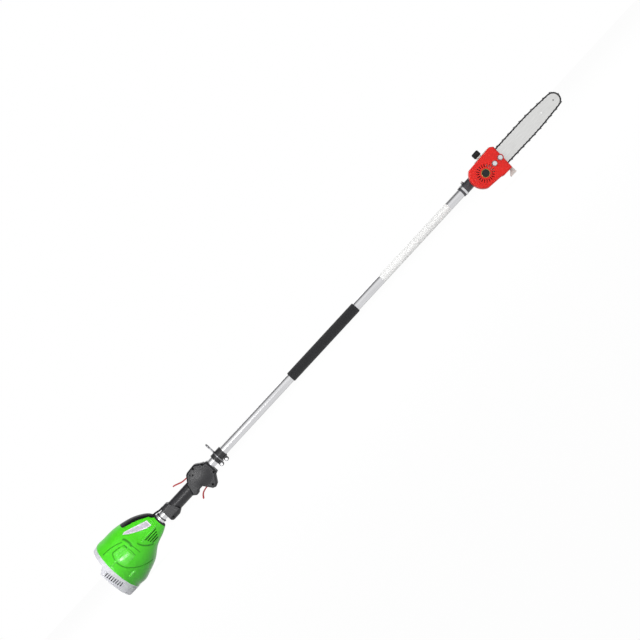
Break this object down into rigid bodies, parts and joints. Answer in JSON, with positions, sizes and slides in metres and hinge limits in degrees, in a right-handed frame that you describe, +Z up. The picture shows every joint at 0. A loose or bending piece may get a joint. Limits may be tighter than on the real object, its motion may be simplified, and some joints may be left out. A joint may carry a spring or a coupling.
{
  "type": "pole saw",
  "caption": "Battery pole saw: bell-shaped powerhead, one-piece tube with trigger handle and foam grip, and a chain bar with oil tank and branch hook.",
  "frame": {"origin": "middle of the powerhead's flat butt face, on the pole's axis", "axes": "+X forward along the pole to the saw, +Z up in use, +Y to the user's left; the bar and its cover are on the -Y side"},
  "size_m": [2.0272, 0.1784, 0.1828],
  "materials": {
    "green_shell": "gloss moulded plastic",
    "grey_plastic": "satin moulded plastic",
    "black_plastic": "satin moulded plastic",
    "dark_plastic": "matte moulded plastic",
    "pale_label": "satin film",
    "board": "coated circuit board",
    "rubber": "matte rubber",
    "foam": "matte closed-cell foam sleeve",
    "red_levers": "satin moulded plastic",
    "red_cover": "gloss moulded plastic",
    "white_plastic": "satin moulded plastic",
    "aluminium": "satin tube and turned alloy",
    "cast_case": "dark coated casting",
    "steel": "ground steel",
    "dark_steel": "oiled and blackened steel",
    "plated": "bright plated steel",
    "contacts": "plain brass"
  },
  "bodies": {
    "frame": {"casing_right": "green_shell", "casing_left": "green_shell", "powerhead_screws": "steel", "rear_base": "grey_plastic", "base_feet": "grey_plastic", "cable_cover": "black_plastic", "label_plates": "pale_label", "battery_terminals": "contacts", "controller_board": "board", "motor_can": "aluminium", "motor_stator": "steel", "motor_bearings": "steel", "tube_socket": "aluminium", "neck_seal": "rubber", "pole_tube": "aluminium", "foam_grip": "foam", "handle_right": "dark_plastic", "handle_left": "dark_plastic", "handle_screws": "dark_steel", "control_cable": "rubber", "hanger_clamp_rear": "dark_plastic", "hanger_clamp_front": "dark_plastic", "hanger_bolts": "steel", "shaft_bushes": "dark_plastic", "lever_pins": "steel", "lever_springs": "steel", "throttle_switch": "black_plastic", "gear_case": "cast_case", "clamp_band": "aluminium", "head_screws": "steel", "sprocket_cover": "red_cover", "cover_badge": "black_plastic", "bar_studs": "plated", "bar_nuts": "plated", "guide_bar": "steel", "chain_drive_links": "dark_steel", "chain_straps": "dark_steel", "chain_cutters": "dark_steel", "chain_rivets": "dark_steel", "oil_tank": "white_plastic", "branch_hook": "white_plastic", "gear_case_cap": "cast_case", "gear_bearings": "steel"},
    "drive_line": {"motor_rotor": "steel", "motor_shaft": "steel", "cooling_fan": "dark_plastic", "shaft_coupler": "aluminium", "drive_shaft": "steel", "bevel_pinion": "steel"},
    "transfer": {"bevel_gear": "steel", "transfer_shaft": "steel"},
    "chain_sprocket": {"sprocket_shaft": "steel", "drive_sprocket": "steel"},
    "nose_wheel": {"nose_sprocket": "steel"},
    "trigger": {"trigger": "red_levers"},
    "lockout": {"lockout_lever": "red_levers"},
    "hanger": {"hanger_plate": "steel"},
    "battery": {"battery_pack": "black_plastic"},
    "latch": {"battery_latch": "black_plastic"},
    "filler_cap": {"oil_cap": "black_plastic"}
  },
  "joints": [
    {"name": "drive_spin", "type": "hinge", "parent": "frame", "child": "drive_line", "pos_m": [0, 0, 0], "axis": [1, 0, 0], "continuous": true},
    {"name": "transfer_spin", "type": "hinge", "parent": "frame", "child": "transfer", "pos_m": [1.693, 0, 0], "axis": [0, 1, 0], "continuous": true},
    {"name": "sprocket_spin", "type": "hinge", "parent": "frame", "child": "chain_sprocket", "pos_m": [1.693, -0.04, -0.013], "axis": [0, 1, 0], "continuous": true},
    {"name": "nose_spin", "type": "hinge", "parent": "frame", "child": "nose_wheel", "pos_m": [2, -0.04, -0.013], "axis": [0, 1, 0], "continuous": true},
    {"name": "trigger_pull", "type": "hinge", "parent": "frame", "child": "trigger", "pos_m": [0.412, 0, -0.033], "axis": [0, 1, 0], "range_deg": [0, 16], "stiffness_Nm_per_rad": 0.5, "springref_deg": -11.46},
    {"name": "lockout_press", "type": "hinge", "parent": "frame", "child": "lockout", "pos_m": [0.395, 0, 0.024], "axis": [0, 1, 0], "range_deg": [-12, 0], "stiffness_Nm_per_rad": 0.5, "springref_deg": 11.46},
    {"name": "hanger_swivel", "type": "hinge", "parent": "frame", "child": "hanger", "pos_m": [0.4955, 0, 0], "axis": [1, 0, 0], "continuous": true},
    {"name": "battery_slide", "type": "slide", "parent": "frame", "child": "battery", "axis": [-1, 0, 0], "range_m": [0, 0.1]},
    {"name": "latch_lift", "type": "slide", "parent": "frame", "child": "latch", "axis": [0, 0, 1], "range_m": [0, 0.002], "stiffness_N_per_m": 400, "springref_m": -0.002},
    {"name": "cap_lift", "type": "slide", "parent": "frame", "child": "filler_cap", "axis": [0, 0, 1], "range_m": [0, 0.03]}
  ],
  "couplings": [
    {"joint": "transfer_spin", "follows": "drive_spin", "ratio": 0.8},
    {"joint": "sprocket_spin", "follows": "drive_spin", "ratio": -0.58667},
    {"joint": "nose_spin", "follows": "drive_spin", "ratio": -0.42667}
  ]
}
